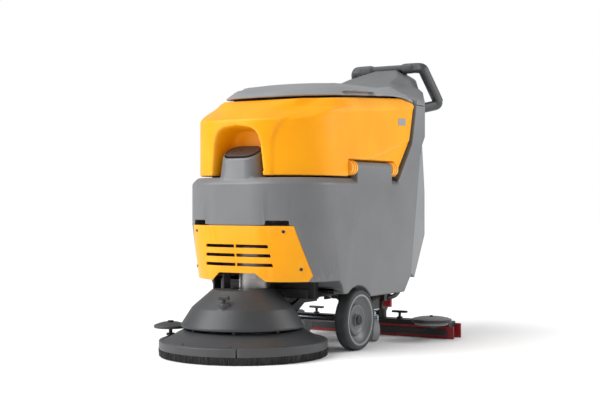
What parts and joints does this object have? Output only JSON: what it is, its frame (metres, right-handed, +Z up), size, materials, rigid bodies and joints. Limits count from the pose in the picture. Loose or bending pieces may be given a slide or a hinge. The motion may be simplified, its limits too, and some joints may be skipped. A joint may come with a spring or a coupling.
{
  "type": "walk-behind floor scrubber dryer",
  "caption": "Walk-behind floor scrubber dryer with a round brush deck, tilting recovery tank, rear squeegee and looped handle.",
  "frame": {"origin": "on the floor under the middle of the machine's box", "axes": "+X to the machine's left, -Y to its front, +Z up"},
  "size_m": [0.844, 1.3501, 1.027],
  "materials": {
    "yellow_abs": "satin moulded",
    "yellow_pe": "satin rotomoulded",
    "body_grey": "satin rotomoulded",
    "lid_grey": "satin",
    "cover_grey": "satin",
    "dark_grey": "satin moulded",
    "black_plastic": "satin moulded",
    "cap_brown": "matte",
    "black_steel": "powder coat",
    "zinc": "zinc plated",
    "motor_steel": "satin",
    "tyre": "matte",
    "hub_grey": "satin",
    "caster_rubber": "matte",
    "bristle": "matte",
    "red_rubber": "satin",
    "red_plastic": "gloss",
    "hose_black": "satin",
    "gasket_black": "matte",
    "battery_case": "matte",
    "clear_cage": "satin"
  },
  "bodies": {
    "machine": {"chassis_frame": "black_steel", "wheel_axle": "zinc", "pivot_pins": "zinc", "caster_plates": "zinc", "solution_tank": "body_grey", "front_cover": "yellow_abs", "cover_screws": "black_steel", "rear_cover": "cover_grey", "console_housing": "body_grey", "control_panel": "black_plastic", "key_switch": "zinc", "handle": "dark_grey", "filler_cap": "cap_brown", "batteries": "battery_case", "vacuum_motor": "motor_steel", "control_box": "black_plastic", "water_valve": "black_plastic", "level_hose": "hose_black", "hose_fittings": "black_plastic", "tank_hinge_pin": "zinc"},
    "deck": {"deck_housing": "dark_grey", "deck_arms": "black_steel", "splash_ring": "dark_grey", "bristle_skirt": "bristle", "deck_cover": "dark_grey", "brush_gearmotor": "motor_steel", "lift_bracket": "black_steel", "bumper_bracket": "black_steel"},
    "brush": {"brush_plate": "black_plastic", "brush_bristles": "bristle"},
    "bumper_roller": {"bumper_roller": "dark_grey"},
    "tilt_knob": {"tilt_knob": "black_plastic"},
    "squeegee_lift": {"squeegee_arm": "black_steel"},
    "squeegee": {"squeegee_body": "black_plastic", "suction_nozzle": "black_plastic", "front_blade": "red_rubber", "rear_blade": "red_rubber", "blade_strips": "black_steel"},
    "recovery_tank": {"recovery_tank": "yellow_pe", "float_cage": "clear_cage"},
    "lid": {"tank_lid": "lid_grey", "lid_gasket": "gasket_black"},
    "filler_plug": {"filler_plug": "cap_brown"},
    "lift_pedal": {"lift_pedal": "red_plastic"},
    "brush_button": {"brush_button": "red_plastic"},
    "vacuum_button": {"vacuum_button": "dark_grey"},
    "water_knob": {"water_knob": "black_plastic"},
    "key": {"key": "zinc"},
    "wheel_left": {"tyre_left": "tyre", "hub_left": "hub_grey"},
    "caster_left": {"caster_fork_left": "zinc"},
    "caster_wheel_left": {"caster_wheel_left": "caster_rubber"},
    "squeegee_knob_left": {"squeegee_knob_left": "black_plastic"},
    "end_roller_left": {"end_roller_left": "dark_grey"},
    "wheel_right": {"tyre_right": "tyre", "hub_right": "hub_grey"},
    "caster_right": {"caster_fork_right": "zinc"},
    "caster_wheel_right": {"caster_wheel_right": "caster_rubber"},
    "squeegee_knob_right": {"squeegee_knob_right": "black_plastic"},
    "end_roller_right": {"end_roller_right": "dark_grey"}
  },
  "joints": [
    {"name": "deck_lift", "type": "hinge", "parent": "machine", "child": "deck", "pos_m": [0, -0.0781, 0.165], "axis": [-1, 0, 0], "range_deg": [0, 4.5]},
    {"name": "brush_spin", "type": "hinge", "parent": "deck", "child": "brush", "pos_m": [0, -0.4051, 0.05], "axis": [0, 0, 1], "continuous": true},
    {"name": "bumper_spin", "type": "hinge", "parent": "deck", "child": "bumper_roller", "pos_m": [-0.262, -0.4481, 0.08], "axis": [0, 0, 1], "continuous": true},
    {"name": "tilt_knob_turn", "type": "hinge", "parent": "deck", "child": "tilt_knob", "pos_m": [0.028, -0.5521, 0.18], "axis": [0, 0, 1], "continuous": true},
    {"name": "wheel_spin_left", "type": "hinge", "parent": "machine", "child": "wheel_left", "pos_m": [0.248, -0.1181, 0.1], "axis": [1, 0, 0], "continuous": true},
    {"name": "caster_swivel_left", "type": "hinge", "parent": "machine", "child": "caster_left", "pos_m": [0.16, 0.1469, 0.09], "axis": [0, 0, 1], "continuous": true},
    {"name": "caster_spin_left", "type": "hinge", "parent": "caster_left", "child": "caster_wheel_left", "pos_m": [0.18264, 0.12722, 0.04], "axis": [0.6561, 0.7547, 0], "continuous": true},
    {"name": "wheel_spin_right", "type": "hinge", "parent": "machine", "child": "wheel_right", "pos_m": [-0.248, -0.1181, 0.1], "axis": [1, 0, 0], "continuous": true},
    {"name": "caster_swivel_right", "type": "hinge", "parent": "machine", "child": "caster_right", "pos_m": [-0.16, 0.1469, 0.09], "axis": [0, 0, 1], "continuous": true},
    {"name": "caster_spin_right", "type": "hinge", "parent": "caster_right", "child": "caster_wheel_right", "pos_m": [-0.13736, 0.16658, 0.04], "axis": [-0.6561, 0.7547, 0], "continuous": true},
    {"name": "squeegee_raise", "type": "hinge", "parent": "machine", "child": "squeegee_lift", "pos_m": [0, 0.1999, 0.148], "axis": [1, 0, 0], "range_deg": [0, 14]},
    {"name": "squeegee_swivel", "type": "hinge", "parent": "squeegee_lift", "child": "squeegee", "pos_m": [0, 0.3519, 0.075], "axis": [0, 0, 1], "range_deg": [-10, 10]},
    {"name": "squeegee_knob_turn_left", "type": "hinge", "parent": "squeegee", "child": "squeegee_knob_left", "pos_m": [0.178, 0.3439, 0.07], "axis": [0, 0, 1], "continuous": true},
    {"name": "end_roller_spin_left", "type": "hinge", "parent": "squeegee", "child": "end_roller_left", "pos_m": [0.352, 0.2469, 0.07], "axis": [0, 0, 1], "continuous": true},
    {"name": "squeegee_knob_turn_right", "type": "hinge", "parent": "squeegee", "child": "squeegee_knob_right", "pos_m": [-0.178, 0.3439, 0.07], "axis": [0, 0, 1], "continuous": true},
    {"name": "end_roller_spin_right", "type": "hinge", "parent": "squeegee", "child": "end_roller_right", "pos_m": [-0.352, 0.2469, 0.07], "axis": [0, 0, 1], "continuous": true},
    {"name": "tank_tilt", "type": "hinge", "parent": "machine", "child": "recovery_tank", "pos_m": [0.24, 0.0019, 0.601], "axis": [0, 1, 0], "range_deg": [0, 50]},
    {"name": "lid_open", "type": "hinge", "parent": "recovery_tank", "child": "lid", "pos_m": [0, -0.3061, 0.838], "axis": [1, 0, 0], "range_deg": [0, 100]},
    {"name": "filler_plug_pull", "type": "slide", "parent": "machine", "child": "filler_plug", "axis": [0, -0.4566, 0.8897], "range_m": [0, 0.03]},
    {"name": "pedal_press", "type": "hinge", "parent": "machine", "child": "lift_pedal", "pos_m": [0.185, 0.1999, 0.152], "axis": [-1, 0, 0], "range_deg": [0, 15]},
    {"name": "brush_button_press", "type": "slide", "parent": "machine", "child": "brush_button", "axis": [0, -0.7691, -0.6391], "range_m": [0, 0.002], "stiffness_N_per_m": 400, "springref_m": -0.0005},
    {"name": "vacuum_button_press", "type": "slide", "parent": "machine", "child": "vacuum_button", "axis": [0, -0.7691, -0.6391], "range_m": [0, 0.002], "stiffness_N_per_m": 400, "springref_m": -0.0005},
    {"name": "water_knob_turn", "type": "hinge", "parent": "machine", "child": "water_knob", "pos_m": [0.038, 0.62962, 0.98088], "axis": [0, 0.7691, 0.6391], "range_deg": [0, 180]},
    {"name": "key_turn", "type": "hinge", "parent": "machine", "child": "key", "pos_m": [-0.038, 0.62962, 0.98088], "axis": [0, 0.7691, 0.6391], "range_deg": [0, 90]}
  ]
}
